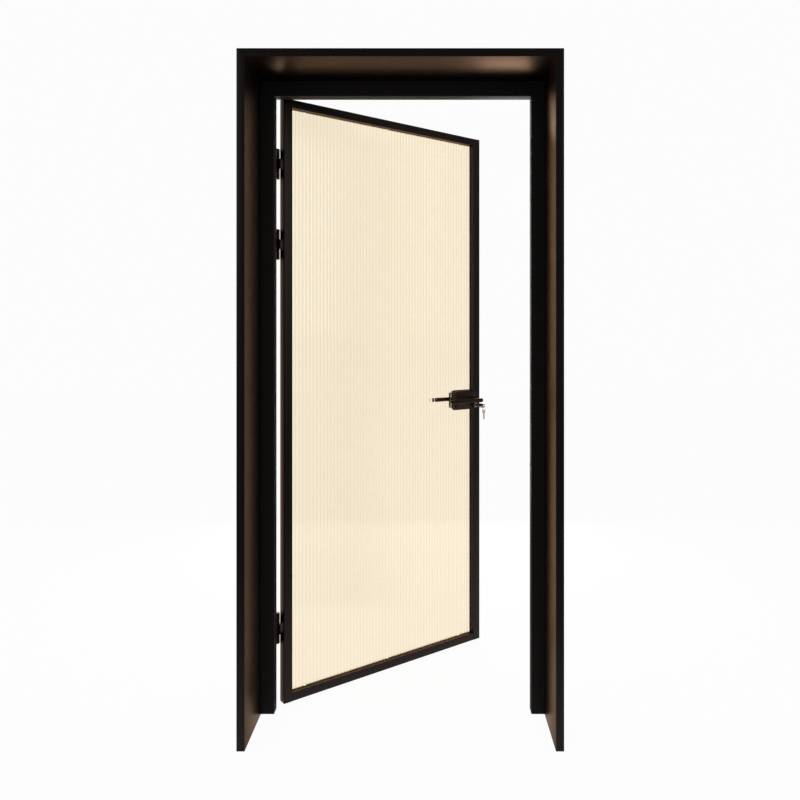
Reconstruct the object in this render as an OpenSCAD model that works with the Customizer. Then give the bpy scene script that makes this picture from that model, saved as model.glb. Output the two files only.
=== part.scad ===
// A dark metal entrance door with a deep lining, a stop and one slim framed leaf of reeded glass.
// The leaf hangs on three barrel hinges and stands open. Its narrow lock has a lever on each face.
// The origin is the foot of the hinge jamb at its outer front corner, with +X across the doorway,
// +Y through it and +Z up. Leaf pieces are drawn closed and then swung about the hinge pins.

/* [Frame] */
// Overall width of the frame
frame_w = 1000; // [700:10:1400]
// Overall height of the frame
frame_h = 2145; // [1900:5:2600]
// Face width of the lining
lining_face = 25; // [20:1:45]
// Depth of the lining from its front edge to the stop
lining_depth = 214; // [120:1:320]
// Wall thickness of the hollow profiles
profile_wall = 2; // [1.5:0.1:2.5]
// Width of the stop inside the lining of each jamb
jamb_stop = 44; // [36:1:60]
// Width of the stop below the lining of the head
head_stop = 50; // [36:1:70]
// Depth of the stop
stop_depth = 40; // [25:1:60]
// Width by which the closed leaf covers the stop
stop_cover = 12; // [10:1:14]
// Radius on the long edges of the profiles
edge_r = 1; // [0.5:0.1:1.5]
// Radius of the wall anchor holes in the jambs
anchor_r = 4; // [3:0.5:5]
// Number of wall anchors in each jamb
anchor_count = 4; // [3:1:6]
// Height of the lowest wall anchor
anchor_low = 120; // [80:5:160]
// Depth of the highest wall anchor below the top of the frame
anchor_down = 165; // [120:5:200]

/* [Gaps] */
// Gap between the closed leaf and the rebate
leaf_gap = 4; // [3.5:0.5:6]
// Gap under the leaf
floor_gap = 5; // [4:1:15]
// Space between the stop and the closed leaf, for the seal
seal_gap = 3; // [2.5:0.1:4]
// Clearance of seals and of parts that pass through one another
fit_gap = 0.3; // [0.2:0.05:0.4]
// Radial clearance of shafts in their bores
running_gap = 0.05; // [0.02:0.01:0.09]

/* [Leaf] */
// Angle at which the leaf stands open
open_angle = 37; // [0:0.5:100]
// Thickness of the leaf
leaf_thickness = 32; // [30:1:40]
// Face width of the hinge stile
hinge_stile_face = 31; // [22:1:50]
// Face width of the lock stile
lock_stile_face = 34; // [34:1:60]
// Face width of the top and bottom rails
rail_face = 28; // [22:1:60]
// Width of the glazing nib on every member
nib_w = 10; // [8:1:11]
// Depth of the glazing nib behind the near face
nib_depth = 14; // [10:1:15]

/* [Glass] */
// Thickness of the pane over its reeds
glass_t = 7; // [5:0.5:8]
// Width of one reed
reed_pitch = 14; // [8:1:24]
// Height of one reed
reed_h = 1.6; // [0.8:0.1:2.4]
// Thickness of the seals on both faces of the pane
glass_seal_t = 2; // [1:0.5:2.5]
// Clearance round the edge of the pane
glass_edge_gap = 2; // [1.5:0.5:3]

/* [Hinges] */
// Height of one hinge
hinge_h = 100; // [80:2:140]
// Radius of the hinge barrel
barrel_r = 10; // [7.5:0.5:11]
// Radius of the hinge pin
pin_r = 5; // [4:0.5:5.5]
// Distance of the pin beyond the far face of the leaf
pin_offset = 26; // [20:1:28]
// Thickness of the hinge wings
wing_t = 4; // [3:0.5:5]
// Width of the hinge wings
wing_w = 13; // [12:0.5:13]
// Height of the lower hinge above the foot of the leaf
lower_hinge_up = 242; // [150:2:400]
// Depth of the upper hinge below the top of the leaf
upper_hinge_down = 217; // [120:2:300]
// Distance between the upper and middle hinges
hinge_pair_gap = 280; // [180:5:600]

/* [Lock] */
// Height of the lever axis above the floor
lever_z = 1002; // [850:2:1150]
// Distance of the lever axis from the free edge
backset = 30; // [29:0.5:33]
// Depth of the key cylinder below the lever axis
cylinder_down = 22; // [22:0.5:24]
// Width of the lock box from its free end to the cover's end near the stop
cover_w = 118; // [100:2:180]
// Height of the lock box
lock_box_h = 76; // [74:1:100]
// Thickness of the lock covers
cover_t = 3; // [2:0.5:4]
// Corner radius of the lock box
cover_corner_r = 15; // [6:1:18]
// Travel of the latch bolt
latch_throw = 11; // [8:0.5:11]
// Height of the faceplate and the strike plate
plate_h = 140; // [124:2:180]

/* [Levers] */
// Length of a lever from its axis to its tip
lever_len = 158; // [100:2:160]
// Height of the lever bar
lever_h = 17; // [14:0.5:18]
// Thickness of the lever bar
lever_t = 10; // [8:0.5:12]
// Distance from the face of the leaf to the middle of the lever bar
lever_standoff = 45; // [40:1:50]
// Radius of the lever neck
neck_r = 8; // [7:0.5:8.5]
// Radius of the rose round the lever neck
rose_r = 11.4; // [10.5:0.1:11.6]
// Width across the square spindle
spindle_w = 8; // [6:0.5:8]

/* [Keys] */
// Radius of each half of the key cylinder
cylinder_r = 10; // [9:0.5:10]
// Height by which the cylinder stands out of the leaf
cylinder_out = 12; // [8:0.5:14]
// Radius of the cylinder plug
plug_r = 6.5; // [6:0.1:7]
// Thickness of the keys
key_t = 2.4; // [1.8:0.1:2.6]
// Outer end of the key, measured from the near face of the leaf
key_reach = 66; // [64:1:74]
// Centre-line radius of the key ring
ring_r = 8; // [7:0.5:8]

/* [Hidden] */
$fn = 64;

// Small amount by which a cutting shape passes a face
cut = 1;

// Frame, in plan from the outer side of the jamb and from the front
stop_edge = lining_face + jamb_stop;
head_edge = frame_h - lining_face - head_stop;
stop_back = lining_depth + stop_depth;
rebate_depth = seal_gap + leaf_thickness;
frame_depth = stop_back + rebate_depth;
rebate_wall = stop_edge - stop_cover - leaf_gap;

// Leaf, closed
leaf_x = stop_edge - stop_cover;
leaf_y = stop_back + seal_gap;
leaf_w = frame_w - 2 * leaf_x;
leaf_top = head_edge + stop_cover;
leaf_h = leaf_top - floor_gap;
hinge_tube = hinge_stile_face - nib_w;
lock_tube = lock_stile_face - nib_w;
rail_tube = rail_face - nib_w;

// Glass pocket, in the leaf's own width u and depth t from the near face
pane_front = nib_depth + glass_seal_t;
pane_back = pane_front + glass_t;
bead_front = pane_back + glass_seal_t;
pane_u0 = hinge_tube + glass_edge_gap;
pane_u1 = leaf_w - lock_tube - glass_edge_gap;
pane_z0 = floor_gap + rail_tube + glass_edge_gap;
pane_z1 = leaf_top - rail_tube - glass_edge_gap;
reed_count = round((pane_u1 - pane_u0) / reed_pitch);
reed_w = (pane_u1 - pane_u0) / reed_count;
reed_steps = 6;

// Hinges
pin_x = leaf_x;
pin_y = leaf_y + leaf_thickness + pin_offset;
hinge_zs = [floor_gap + lower_hinge_up, leaf_top - upper_hinge_down - hinge_pair_gap,
    leaf_top - upper_hinge_down];
knuckle_h = (hinge_h - 2 * fit_gap) / 3;
wing_gap = 2;
wing_r = 3;
pin_cap_h = 3;
hinge_screw_r = 2.5;
hinge_screw_head_r = 4.6;
hinge_screw_head_h = 2.4;
hinge_screw_l = 16;
hinge_screw_z = hinge_h / 2 - 16;
hinge_screw_out = wing_gap + wing_w / 2;

// Wall anchors through the rebate of each jamb
anchor_pitch = (frame_h - anchor_low - anchor_down) / (anchor_count - 1);
anchor_y = (stop_back + frame_depth) / 2;

// Lock, in the leaf's width u and depth t
axis_u = leaf_w - backset;
cylinder_z = lever_z - cylinder_down;
cover_u1 = leaf_w - stop_cover - 5;
box_u0 = cover_u1 - cover_w;
box_z0 = lever_z - lock_box_h / 2;
box_z1 = lever_z + lock_box_h / 2;
lock_box_wall = 2;
box_seal_w = 3;
plate_w = 24;
plate_t = profile_wall;
plate_t0 = (leaf_thickness - plate_w) / 2;
strike_t = 1.5;
mid_t = leaf_thickness / 2;
case_t = 16;
case_wall = 1.5;
case_h = lock_box_h - 6;
case_u0 = axis_u - 44;
case_u1 = leaf_w - plate_t;
bolt_t = 12;
latch_h = 14;
latch_z = lever_z + 17.5;
latch_tail = 26;
bolt_h = 18;
bolt_throw = 13;
bolt_z = cylinder_z;
bolt_gap = 0.4;
follower_r = 8.6;
boss_r = 7.5;
cam_t = 5.4;
cam_r = plug_r + 4.5;
bolt_u0 = axis_u + cam_r + 1.5;
half_gap = 9;
cover_screw_r = 2;
cover_screws_at = [[box_u0 + 13, lever_z - 25], [box_u0 + 13, lever_z + 25], [box_u0 + 50, lever_z]];
plate_screw_z = plate_h / 2 - 8;
plate_screw_r = 2;
rose_h = 5;
neck_end = 0.5;
bar_front = lever_standoff - lever_t / 2;
bar_r = 3;

// Keys
bow_r = 9;
bow_len = 34;
key_hole_r = 3;
key_hole_in = 5;
ring_wire_r = 0.8;
spare_bow_r = 8;
spare_bow_len = 17;
spare_len = 40;
hole_t = -key_reach + key_hole_in;
ring_top_z = cylinder_z - key_hole_r + ring_wire_r + fit_gap / 2;
ring_z = ring_top_z - ring_r;
spare_top_z = ring_z - ring_r + ring_wire_r + fit_gap / 2 - key_hole_r + key_hole_in;

// Colours
metal = [0.13, 0.11, 0.10];
hardware = [0.17, 0.15, 0.14];
steel = [0.62, 0.62, 0.60];
rubber = [0.05, 0.05, 0.05];
glass = [0.86, 0.90, 0.84, 0.45];

// Points of a polygon with its outward corners rounded by radius r
function unit(v) = v / norm(v);
function corner_arc(p, q, s, r, steps) =
    let(a = unit(p - q), b = unit(s - q), half = acos(a * b) / 2)
    let(c = q + unit(a + b) * r / sin(half), d = r / tan(half))
    let(p0 = q + a * d - c, p1 = q + b * d - c)
    let(a0 = atan2(p0.y, p0.x), a1 = atan2(p1.y, p1.x))
    let(turn = (a1 - a0 + 540) % 360 - 180)
    [for (i = [0 : steps]) let(w = a0 + turn * i / steps) c + r * [cos(w), sin(w)]];
function outward(p, q, s) = (q.x - p.x) * (s.y - q.y) - (q.y - p.y) * (s.x - q.x) > 0;
function rounded(pts, r, steps = 3) = let(n = len(pts))
    [for (i = [0 : n - 1]) let(p = pts[(i + n - 1) % n], q = pts[i], s = pts[(i + 1) % n])
        each outward(p, q, s) ? corner_arc(p, q, s, r, steps) : [q]];
function block(x0, y0, x1, y1) = [[x0, y0], [x1, y0], [x1, y1], [x0, y1]];

// Point where a line from p touches a circle of radius r round the origin
function tangent_point(p, r) = let(w = atan2(p.y, p.x) + acos(r / norm(p))) r * [cos(w), sin(w)];

// Places a piece that is drawn closed in the leaf's u, t and z on the open leaf
module swing() {
    translate([pin_x, pin_y, 0]) rotate([0, 0, open_angle]) translate([-pin_x, -pin_y, 0]) children();
}
module on_leaf() {
    swing() translate([leaf_x, leaf_y, 0]) children();
}
// Far-side copy of a piece on the near side of the leaf
module far_side() {
    translate([0, leaf_thickness, 0]) mirror([0, 1, 0]) children();
}
// Lock-side copy of a piece on the hinge jamb
module lock_jamb() {
    translate([frame_w, 0, 0]) mirror([1, 0, 0]) children();
}
// Turns an upright shape so that its height runs into the leaf, from the near face
module into_leaf(u, t, z) {
    translate([u, t, z]) rotate([-90, 0, 0]) children();
}
// Extrudes a shape drawn in the leaf's face, u and z, between two depths
module slab(t0, t1) {
    translate([0, t1, 0]) rotate([90, 0, 0]) linear_extrude(t1 - t0) children();
}
// Countersunk screw along +Z with its head at the bottom
module csk_screw(r, head_r, head_h, l) {
    rotate_extrude() polygon([[0, 0], [head_r, 0], [r, head_h], [r, l - r], [r * 0.3, l], [0, l]]);
}
// Lets a section that is drawn from the outer edge inwards run across the head or the foot
module across_top(top, length) {
    translate([0, 0, top]) rotate([0, 90, 0]) linear_extrude(length) children();
}
module across_foot(foot, length) {
    translate([length, 0, foot]) rotate([0, -90, 0]) linear_extrude(length) children();
}

// Lining: a flat hollow box section with two webs, mitred at the head
module lining_section() {
    webs = 2;
    room = (lining_depth - (webs + 2) * profile_wall) / (webs + 1);
    difference() {
        polygon(rounded(block(0, 0, lining_face, lining_depth), edge_r));
        for (i = [0 : webs]) {
            y0 = profile_wall + i * (room + profile_wall);
            translate([profile_wall, y0]) square([lining_face - 2 * profile_wall, room]);
        }
    }
}
module jamb_lining() {
    color(metal) difference() {
        linear_extrude(frame_h) lining_section();
        translate([0, lining_depth + cut, 0]) rotate([90, 0, 0]) linear_extrude(lining_depth + 2 * cut)
            polygon([[-cut, frame_h + cut], [lining_face + cut, frame_h + cut],
                [lining_face + cut, frame_h - lining_face - cut]]);
    }
}
module hinge_jamb_lining() { jamb_lining(); }
module lock_jamb_lining() { lock_jamb() jamb_lining(); }
module head_lining() {
    color(metal) intersection() {
        across_top(frame_h, frame_w) lining_section();
        translate([0, lining_depth + cut, 0]) rotate([90, 0, 0]) linear_extrude(lining_depth + 2 * cut)
            polygon([[0, frame_h], [frame_w, frame_h],
                [frame_w - lining_face, frame_h - lining_face], [lining_face, frame_h - lining_face]]);
    }
}
// Corner cleats: flat angles that join the lining inside its mitres
module lining_corner_cleats() {
    leg = 70;
    t = lining_face - 2 * profile_wall - 2 * fit_gap;
    depth = 20;
    inset = profile_wall + fit_gap;
    color(steel) for (side = [0, 1]) {
        translate([side * frame_w, 0, 0]) mirror([side, 0, 0])
            translate([0, inset + depth, 0]) rotate([90, 0, 0]) linear_extrude(depth)
                polygon([[inset, frame_h - inset], [inset, frame_h - leg], [inset + t, frame_h - leg],
                    [inset + t, frame_h - inset - t], [leg, frame_h - inset - t], [leg, frame_h - inset]]);
    }
}

// Rebate profile: the stop and, behind it, the step that takes the closed leaf
function rebate_outline(stop) = let(edge = lining_face + stop, wall = edge - stop_cover - leaf_gap)
    [[0, lining_depth], [edge, lining_depth], [edge, stop_back], [wall, stop_back],
        [wall, frame_depth], [0, frame_depth]];
module rebate_section(stop) {
    edge = lining_face + stop;
    wall = edge - stop_cover - leaf_gap;
    w = profile_wall;
    difference() {
        polygon(rounded(rebate_outline(stop), edge_r));
        polygon(block(w, lining_depth + w, edge - w, stop_back - w));
        polygon(block(w, stop_back, wall - w, frame_depth - w));
    }
}
module jamb_rebate() {
    difference() {
        linear_extrude(frame_h) rebate_section(jamb_stop);
        for (i = [0 : anchor_count - 1])
            translate([-cut, anchor_y, anchor_low + i * anchor_pitch]) rotate([0, 90, 0])
                cylinder(r = anchor_r, h = rebate_wall + 2 * cut);
    }
}
module hinge_jamb_rebate() {
    color(metal) difference() {
        jamb_rebate();
        jamb_screw_set(fit_gap);
    }
}
module lock_jamb_rebate() {
    box_y0 = leaf_y + mid_t - strike_box_w / 2 - fit_gap;
    color(metal) difference() {
        lock_jamb() jamb_rebate();
        translate([frame_w - rebate_wall - cut, box_y0, strike_z0 - fit_gap])
            cube([profile_wall + 2 * cut, strike_box_w + 2 * fit_gap, strike_box_h + 2 * fit_gap]);
        strike_screw_set(fit_gap);
    }
}
module head_rebate() {
    color(metal) difference() {
        translate([rebate_wall, 0, 0]) across_top(frame_h, frame_w - 2 * rebate_wall)
            rebate_section(head_stop);
        for (x = [0, frame_w - stop_edge])
            translate([x, lining_depth - cut, head_edge - cut])
                cube([stop_edge, stop_depth + cut, frame_h]);
    }
}

// Stop seals: rubber strips on the back of the stop that the closed leaf meets
seal_w = 7;
seal_in = 3;
module seal_strip() {
    polygon(rounded([[stop_edge - seal_in - seal_w, stop_back], [stop_edge - seal_in, stop_back],
        [stop_edge - seal_in, leaf_y - fit_gap], [stop_edge - seal_in - seal_w, leaf_y - fit_gap]], 0.6));
}
module hinge_jamb_seal() { color(rubber) linear_extrude(head_edge) seal_strip(); }
module lock_jamb_seal() { color(rubber) lock_jamb() linear_extrude(head_edge) seal_strip(); }
module head_seal() {
    color(rubber) translate([stop_edge - seal_in - seal_w, stop_back, head_edge + seal_in])
        cube([frame_w - 2 * (stop_edge - seal_in - seal_w), seal_gap - fit_gap, seal_w]);
}

// Strike: a plate on the rebate of the lock jamb and a closed box behind it for the bolts
strike_box_w = 20;
strike_box_h = lock_box_h - 8;
strike_box_depth = 20;
strike_box_wall = 1.2;
strike_z0 = lever_z - strike_box_h / 2;
strike_x = frame_w - rebate_wall;
module bolt_holes(gap) {
    translate([0, mid_t - bolt_t / 2 - gap, latch_z - latch_h / 2 - gap])
        cube([cut * 6, bolt_t + 2 * gap, latch_h + 2 * gap]);
    translate([0, mid_t - bolt_t / 2 - gap, bolt_z - bolt_h / 2 - gap])
        cube([cut * 6, bolt_t + 2 * gap, bolt_h + 2 * gap]);
}
module strike_screw_set(gap) {
    for (side = [-1, 1])
        translate([strike_x - strike_t, leaf_y + mid_t, lever_z + side * plate_screw_z]) rotate([0, 90, 0])
            csk_screw(plate_screw_r + gap / 2, plate_screw_r * 2 + gap / 2, strike_t, 16);
}
module strike_plate() {
    color(steel) difference() {
        translate([strike_x - strike_t, leaf_y + plate_t0, lever_z - plate_h / 2]) rotate([0, 90, 0])
            mirror([1, 0, 0]) linear_extrude(strike_t)
                polygon(rounded(block(0, 0, plate_h, plate_w), 3, 6));
        translate([strike_x - strike_t - cut, leaf_y, 0]) bolt_holes(1);
        strike_screw_set(fit_gap / 3);
    }
}
module strike_box() {
    w = strike_box_wall;
    color(steel) translate([strike_x, leaf_y + mid_t - strike_box_w / 2, strike_z0]) difference() {
        cube([strike_box_depth, strike_box_w, strike_box_h]);
        translate([-cut, w, w])
            cube([strike_box_depth + cut - w, strike_box_w - 2 * w, strike_box_h - 2 * w]);
    }
}
module strike_screws() { color(steel) strike_screw_set(0); }

// Hinges: a plate on the back of the jamb and one on the far face of the leaf, each with an arm
// out to its knuckles, and a pin through all three knuckles
back_y = pin_y - pin_offset;
module wing_plate() {
    translate([0, back_y + wing_t, 0]) rotate([90, 0, 0]) linear_extrude(wing_t)
        polygon(rounded(block(wing_gap, 0, wing_gap + wing_w, hinge_h), wing_r, 6));
}
module wing_arm() {
    edge = wing_gap + wing_w;
    touch = [0, pin_y] + tangent_point([edge, wing_t - pin_offset], barrel_r);
    linear_extrude(knuckle_h) {
        polygon([[wing_gap, back_y + wing_t / 2], [edge, back_y + wing_t / 2], [edge, back_y + wing_t],
            touch, [0, pin_y], [wing_gap, pin_y - barrel_r]]);
        translate([0, pin_y]) circle(r = barrel_r);
    }
}
// Drawn from the foot of the hinge, with the pin at x = 0 and the plate towards +x
module wing(knuckles) {
    difference() {
        union() {
            wing_plate();
            for (k = knuckles) translate([0, 0, k * (knuckle_h + fit_gap)]) wing_arm();
        }
        translate([0, pin_y, -cut]) cylinder(r = pin_r + running_gap, h = hinge_h + 2 * cut);
        wing_screws(fit_gap / 3);
    }
}
module wing_screws(gap) {
    for (side = [-1, 1])
        translate([hinge_screw_out, back_y + wing_t, hinge_h / 2 + side * hinge_screw_z])
            rotate([90, 0, 0])
                csk_screw(hinge_screw_r + gap, hinge_screw_head_r + gap, hinge_screw_head_h, hinge_screw_l);
}
module to_jamb(z) { translate([pin_x, 0, z - hinge_h / 2]) mirror([1, 0, 0]) children(); }
module to_leaf(z) { swing() translate([pin_x, 0, z - hinge_h / 2]) children(); }
module jamb_wing(z) { color(hardware) to_jamb(z) wing([0, 2]); }
module door_wing(z) { color(hardware) to_leaf(z) wing([1]); }
module pin(z) {
    color(steel) translate([pin_x, pin_y, z - hinge_h / 2]) cylinder(r = pin_r, h = hinge_h);
}
module jamb_screw_set(gap) { for (z = hinge_zs) to_jamb(z) wing_screws(gap); }
module door_screw_set(gap) { for (z = hinge_zs) to_leaf(z) wing_screws(gap); }
module lower_hinge_jamb_wing() { jamb_wing(hinge_zs[0]); }
module middle_hinge_jamb_wing() { jamb_wing(hinge_zs[1]); }
module upper_hinge_jamb_wing() { jamb_wing(hinge_zs[2]); }
module lower_hinge_door_wing() { door_wing(hinge_zs[0]); }
module middle_hinge_door_wing() { door_wing(hinge_zs[1]); }
module upper_hinge_door_wing() { door_wing(hinge_zs[2]); }
module lower_hinge_pin() { pin(hinge_zs[0]); }
module middle_hinge_pin() { pin(hinge_zs[1]); }
module upper_hinge_pin() { pin(hinge_zs[2]); }
module hinge_pin_caps() {
    color(hardware) for (z = hinge_zs, end = [0, 1])
        translate([pin_x, pin_y, z]) mirror([0, 0, end]) translate([0, 0, hinge_h / 2])
            rotate_extrude() polygon([[0, 0], [barrel_r, 0], [barrel_r, pin_cap_h * 0.6],
                [barrel_r - pin_cap_h * 0.4, pin_cap_h], [0, pin_cap_h]]);
}
module hinge_jamb_screws() { color(steel) jamb_screw_set(0); }
module hinge_door_screws() { color(steel) door_screw_set(0); }

// Leaf members: one hollow section with a glazing nib on its near side
module member_outline(face) {
    polygon(rounded([[0, 0], [face, 0], [face, nib_depth], [face - nib_w, nib_depth],
        [face - nib_w, leaf_thickness], [0, leaf_thickness]], edge_r));
}
module member_room(face) {
    w = profile_wall;
    polygon([[w, w], [face - w, w], [face - w, nib_depth - w], [face - nib_w - w, nib_depth - w],
        [face - nib_w - w, leaf_thickness - w], [w, leaf_thickness - w]]);
}
module stile(face) {
    translate([0, 0, floor_gap]) difference() {
        linear_extrude(leaf_h) member_outline(face);
        translate([0, 0, profile_wall]) linear_extrude(leaf_h - 2 * profile_wall) member_room(face);
    }
}
module rail_section() {
    difference() {
        member_outline(rail_face);
        member_room(rail_face);
    }
}
// Rails run between the tubes of the stiles and are notched round the stiles' nibs
module coped() {
    difference() {
        intersection() {
            children();
            translate([hinge_tube, -cut, 0])
                cube([leaf_w - hinge_tube - lock_tube, leaf_thickness + 2 * cut, frame_h]);
        }
        translate([0, -cut, 0]) cube([hinge_stile_face, nib_depth + cut, frame_h]);
        translate([leaf_w - lock_stile_face, -cut, 0]) cube([lock_stile_face, nib_depth + cut, frame_h]);
    }
}
module hinge_stile() {
    color(metal) difference() {
        on_leaf() stile(hinge_stile_face);
        door_screw_set(fit_gap);
        on_leaf() hinge_bead_screws(fit_gap / 3);
    }
}
module lock_stile() {
    tab_l = 14;
    color(metal) on_leaf() difference() {
        union() {
            translate([leaf_w, 0, 0]) mirror([1, 0, 0]) stile(lock_stile_face);
            for (side = [0, 1])
                translate([case_u1 - 6, profile_wall / 2, lever_z]) mirror([0, 0, side])
                    translate([0, 0, plate_h / 2 - tab_l + 2])
                        cube([6, leaf_thickness - profile_wall, tab_l]);
        }
        translate([leaf_w - lock_stile_face - cut, mid_t - case_t / 2 - fit_gap, lever_z - case_h / 2 - fit_gap])
            cube([lock_stile_face + 2 * cut, case_t + 2 * fit_gap, case_h + 2 * fit_gap]);
        translate([case_u1, plate_t0 - fit_gap / 2, lever_z - plate_h / 2 - fit_gap / 2])
            cube([plate_t + cut, plate_w + fit_gap, plate_h + fit_gap]);
        into_leaf(axis_u, -cut, lever_z) cylinder(r = neck_r + fit_gap, h = leaf_thickness + 2 * cut);
        into_leaf(axis_u, -cut, cylinder_z) cylinder(r = cylinder_r + fit_gap / 2, h = leaf_thickness + 2 * cut);
        plate_screw_set(fit_gap / 3);
        lock_bead_screws(fit_gap / 3);
    }
}
module top_rail() {
    color(metal) on_leaf() difference() {
        coped() across_top(leaf_top, leaf_w) rail_section();
        rail_bead_screws(1, fit_gap / 3);
    }
}
module bottom_rail() {
    color(metal) on_leaf() difference() {
        coped() across_foot(floor_gap, leaf_w) rail_section();
        rail_bead_screws(0, fit_gap / 3);
    }
}

// Pane of reeded glass: upright rounded reeds on its near face, notched for the lock box
function reed_rise(x) = let(half = reed_w / 2, r = (half * half + reed_h * reed_h) / (2 * reed_h))
    sqrt(r * r - x * x) - (r - reed_h);
function reed_points() = [for (i = [0 : reed_count - 1], j = [0 : reed_steps - 1])
    let(x = reed_w * (j / reed_steps - 0.5))
    [pane_u0 + reed_w * (i + 0.5) + x, pane_front + reed_h - reed_rise(x)]];
module lock_box_outline(grow) {
    polygon(rounded(block(box_u0 - grow, box_z0 - grow, leaf_w, box_z1 + grow),
        cover_corner_r + grow, 8));
}
module glass_pane() {
    color(glass) on_leaf() difference() {
        translate([0, 0, pane_z0]) linear_extrude(pane_z1 - pane_z0)
            polygon(concat(reed_points(), [[pane_u1, pane_front + reed_h],
                [pane_u1, pane_back], [pane_u0, pane_back]]));
        slab(-cut, leaf_thickness) lock_box_outline(box_seal_w);
    }
}
// Flat strips round the pane, from depth t0 to t1, cut away at the lock box
module strip_frame(t0, t1, lap) {
    u0 = hinge_stile_face - lap;
    u1 = leaf_w - lock_stile_face + lap;
    z0 = floor_gap + rail_face - lap;
    z1 = leaf_top - rail_face + lap;
    tz0 = floor_gap + rail_tube;
    tz1 = leaf_top - rail_tube;
    slab(t0, t1) {
        polygon(block(hinge_tube, tz0, u0, tz1));
        difference() {
            polygon(block(u1, tz0, leaf_w - lock_tube, tz1));
            polygon(block(u1 - cut, box_z0, leaf_w, box_z1));
        }
        polygon(block(u0 + fit_gap / 3, tz0, u1 - fit_gap / 3, z0));
        polygon(block(u0 + fit_gap / 3, z1, u1 - fit_gap / 3, tz1));
    }
}
module near_glass_seal() { color(rubber) on_leaf() strip_frame(nib_depth, pane_front, 1.5); }
module far_glass_seal() { color(rubber) on_leaf() strip_frame(pane_back, bead_front, 1.5); }
module setting_blocks() {
    block_l = 80;
    color(rubber) on_leaf() for (side = [0.25, 0.75])
        translate([pane_u0 + (pane_u1 - pane_u0) * side - block_l / 2, pane_front, floor_gap + rail_tube])
            cube([block_l, glass_t, glass_edge_gap]);
}

// Glazing beads: sloped strips that hold the pane from the far side
module bead_section(tube) {
    slope = 2;
    polygon([[tube, bead_front], [tube + nib_w, bead_front], [tube + nib_w, leaf_thickness - slope],
        [tube + nib_w - slope, leaf_thickness], [tube, leaf_thickness]]);
}
module side_bead(tube, z0, z1) { translate([0, 0, z0]) linear_extrude(z1 - z0) bead_section(tube); }
bead_z0 = floor_gap + rail_tube;
bead_z1 = leaf_top - rail_tube;
bead_u0 = hinge_stile_face;
bead_u1 = leaf_w - lock_stile_face;
module hinge_side_bead() {
    color(metal) difference() {
        on_leaf() side_bead(hinge_tube, bead_z0, bead_z1);
        on_leaf() hinge_bead_screws(fit_gap / 3);
    }
}
module lock_side_beads() {
    color(metal) on_leaf() difference() {
        translate([leaf_w, 0, 0]) mirror([1, 0, 0]) {
            side_bead(lock_tube, bead_z0, box_z0);
            side_bead(lock_tube, box_z1, bead_z1);
        }
        lock_bead_screws(fit_gap / 3);
    }
}
module rail_bead_cut() {
    intersection() {
        children();
        translate([bead_u0, 0, 0]) cube([bead_u1 - bead_u0, leaf_thickness, frame_h]);
    }
}
module top_bead() {
    color(metal) on_leaf() difference() {
        rail_bead_cut() across_top(leaf_top, leaf_w) bead_section(rail_tube);
        rail_bead_screws(1, fit_gap / 3);
    }
}
module bottom_bead() {
    color(metal) on_leaf() difference() {
        rail_bead_cut() across_foot(floor_gap, leaf_w) bead_section(rail_tube);
        rail_bead_screws(0, fit_gap / 3);
    }
}
bead_screw_t = (bead_front + leaf_thickness) / 2 - 0.4;
bead_screw_l = nib_w + 3;
module bead_screw(gap) { csk_screw(1.2 + gap, 2.4 + gap, 1.2, bead_screw_l); }
module hinge_bead_screws(gap) {
    for (i = [0 : 5])
        translate([bead_u0, bead_screw_t, bead_z0 + 60 + i * (bead_z1 - bead_z0 - 120) / 5])
            rotate([0, -90, 0]) bead_screw(gap);
}
module lock_bead_screws(gap) {
    for (span = [[bead_z0 + 60, box_z0 - 60], [box_z1 + 60, bead_z1 - 60]], i = [0 : 2])
        translate([bead_u1, bead_screw_t, span[0] + i * (span[1] - span[0]) / 2])
            rotate([0, 90, 0]) bead_screw(gap);
}
module rail_bead_screws(top, gap) {
    for (i = [0 : 2])
        translate([bead_u0 + 60 + i * (bead_u1 - bead_u0 - 120) / 2, bead_screw_t,
            top == 1 ? leaf_top - rail_face : floor_gap + rail_face])
            rotate([top == 1 ? 0 : 180, 0, 0]) bead_screw(gap);
}
module bead_screws() {
    color(steel) on_leaf() {
        hinge_bead_screws(0);
        lock_bead_screws(0);
        rail_bead_screws(0, 0);
        rail_bead_screws(1, 0);
    }
}

// Lock box: a bent strip welded to the stile that closes the notch of the pane
module lock_box() {
    color(hardware) on_leaf() difference() {
        slab(0, leaf_thickness) difference() {
            lock_box_outline(0);
            polygon(rounded(block(box_u0 + lock_box_wall, box_z0 + lock_box_wall, leaf_w + 2 * cover_corner_r,
                box_z1 - lock_box_wall), cover_corner_r - lock_box_wall, 8));
            polygon(block(leaf_w - lock_tube, box_z0 - cut, leaf_w + cut, box_z1 + cut));
        }
        translate([leaf_w - lock_stile_face, -cut, box_z0 - cut])
            cube([lock_stile_face, nib_depth + cut, lock_box_h + 2 * cut]);
    }
}
module lock_box_seal() {
    color(rubber) on_leaf() slab(pane_front, pane_back) difference() {
        lock_box_outline(box_seal_w);
        lock_box_outline(0);
        polygon(block(pane_u1, box_z0 - 2 * box_seal_w, leaf_w + cut, box_z1 + 2 * box_seal_w));
    }
}
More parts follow.
